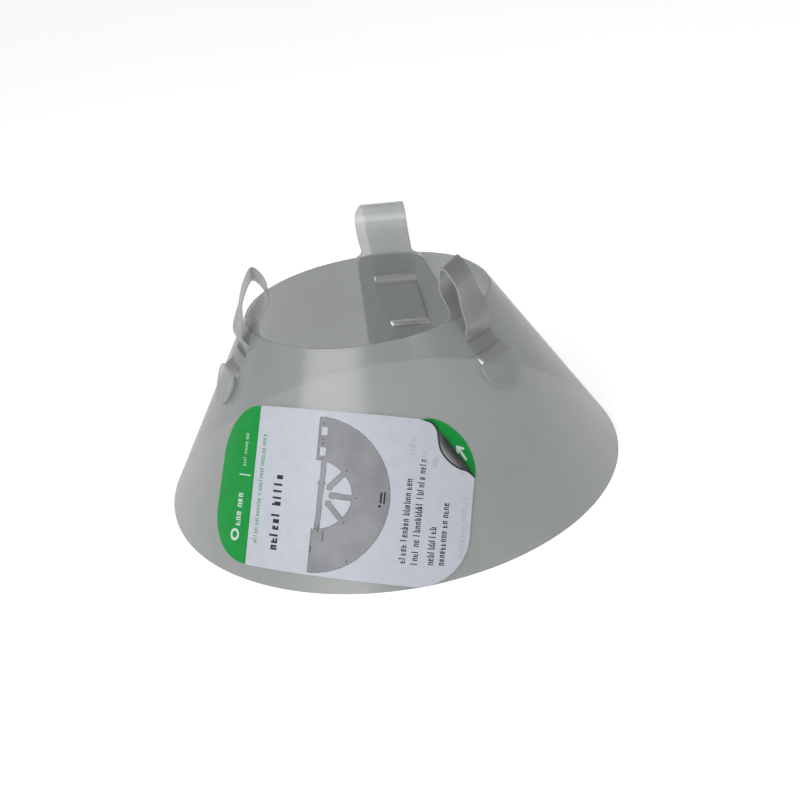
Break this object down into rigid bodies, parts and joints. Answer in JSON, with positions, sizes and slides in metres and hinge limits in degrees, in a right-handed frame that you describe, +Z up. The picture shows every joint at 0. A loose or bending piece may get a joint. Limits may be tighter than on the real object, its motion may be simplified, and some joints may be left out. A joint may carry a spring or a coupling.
{
  "type": "elizabethan collar",
  "caption": "Translucent cone-shaped recovery collar for a small pet, with neck-edge tie loops, a threaded seam strap and a peel-and-read label on its wall.",
  "frame": {"origin": "centre of the wide rim, in the plane that the collar stands on", "axes": "+Z up the cone's axis from the wide rim to the neck, -Y the front with the label, +Y the seam with its locking strap, +X the right-hand tab"},
  "size_m": [0.165, 0.1661, 0.0847],
  "materials": {
    "collar_plastic": "milky translucent polypropylene sheet, semi-gloss",
    "label_base_ply": "printed, satin coated",
    "label_top_ply": "printed, satin coated"
  },
  "bodies": {
    "collar": {"collar_sheet": "collar_plastic", "left_tab_head": "collar_plastic", "right_tab_head": "collar_plastic", "strap_tail": "collar_plastic", "label_base": "label_base_ply"},
    "left_loop": {"left_loop": "collar_plastic"},
    "right_loop": {"right_loop": "collar_plastic"},
    "strap_loop": {"strap_loop": "collar_plastic"},
    "label_leaf": {"label_leaf": "label_top_ply"}
  },
  "joints": [
    {"name": "left_loop_flex", "type": "hinge", "parent": "collar", "child": "left_loop", "pos_m": [-0.03676, -0.02122, 0.0639], "axis": [0.5, -0.866, 0], "range_deg": [-20, 10], "stiffness_Nm_per_rad": 0.01},
    {"name": "right_loop_flex", "type": "hinge", "parent": "collar", "child": "right_loop", "pos_m": [0.03676, -0.02122, 0.0639], "axis": [0.5, 0.866, 0], "range_deg": [-20, 10], "stiffness_Nm_per_rad": 0.01},
    {"name": "strap_loop_flex", "type": "hinge", "parent": "collar", "child": "strap_loop", "pos_m": [0, 0.04245, 0.0639], "axis": [-1, 0, 0], "range_deg": [-20, 6], "stiffness_Nm_per_rad": 0.02},
    {"name": "label_peel", "type": "hinge", "parent": "collar", "child": "label_leaf", "pos_m": [-0.03243, -0.05869, 0.02553], "axis": [-0.1349, -0.5235, -0.8413], "range_deg": [0, 130]}
  ]
}
